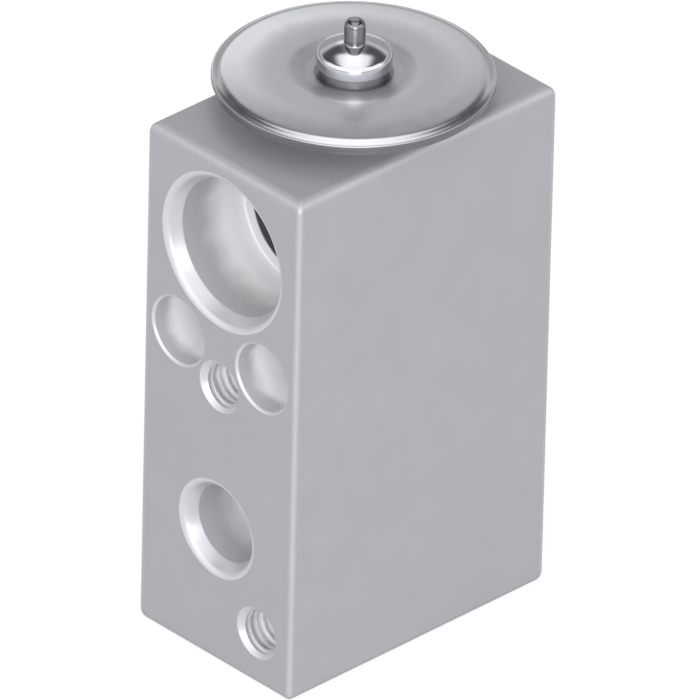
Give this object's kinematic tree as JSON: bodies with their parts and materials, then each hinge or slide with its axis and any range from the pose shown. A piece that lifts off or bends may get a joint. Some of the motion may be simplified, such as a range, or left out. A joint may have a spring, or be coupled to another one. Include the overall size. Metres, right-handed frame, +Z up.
{
  "type": "block expansion valve",
  "caption": "Rectangular aluminium valve block with a suction passage, a liquid inlet and outlet, clamping bolt holes and a round stainless diaphragm head.",
  "frame": {"origin": "middle of the block's foot, on the axis of the head, the rods and the adjusting screw", "axes": "+Z up along the axis of the head; the ports that the compressor and condenser lines plug into face -Y; the block's plain sides face +X and -X"},
  "size_m": [0.0322, 0.04, 0.077],
  "materials": {
    "blasted_aluminium": "matt blasted",
    "turned_aluminium": "turned",
    "pressed_stainless": "smooth pressed",
    "turned_steel": "turned",
    "spring_steel": "drawn wire",
    "polished_ball": "polished",
    "turned_brass": "turned",
    "seal_rubber": "matt"
  },
  "bodies": {
    "housing": {"valve_block": "blasted_aluminium", "rod_o_ring": "seal_rubber", "rod_seal_retainer": "turned_brass", "head_o_ring": "seal_rubber", "head_lower_cover": "pressed_stainless", "diaphragm": "pressed_stainless", "head_upper_cover": "pressed_stainless", "charge_plug": "pressed_stainless"},
    "stem": {"diaphragm_stop": "turned_aluminium", "sensing_rod": "turned_aluminium", "operating_rod": "turned_steel", "valve_ball": "polished_ball", "ball_holder": "turned_steel", "damping_spring": "spring_steel"},
    "spring_carrier": {"screw_o_ring": "seal_rubber", "valve_spring": "spring_steel"},
    "adjuster": {"adjusting_screw": "turned_brass"}
  },
  "joints": [
    {"name": "stem_opening", "type": "slide", "parent": "housing", "child": "stem", "axis": [0, 0, -1], "range_m": [0, 0.0006], "stiffness_N_per_m": 5000, "deforming": ["valve_spring", "diaphragm"]},
    {"name": "screw_advance", "type": "slide", "parent": "housing", "child": "spring_carrier", "axis": [0, 0, 1], "range_m": [-0.001, 0.001]},
    {"name": "screw_turn", "type": "hinge", "parent": "spring_carrier", "child": "adjuster", "pos_m": [0, 0, 0.004], "axis": [0, 0, 1], "range_deg": [-360, 360]}
  ],
  "couplings": [
    {"joint": "screw_advance", "follows": "screw_turn", "m_per_rad": 0.00015915}
  ]
}
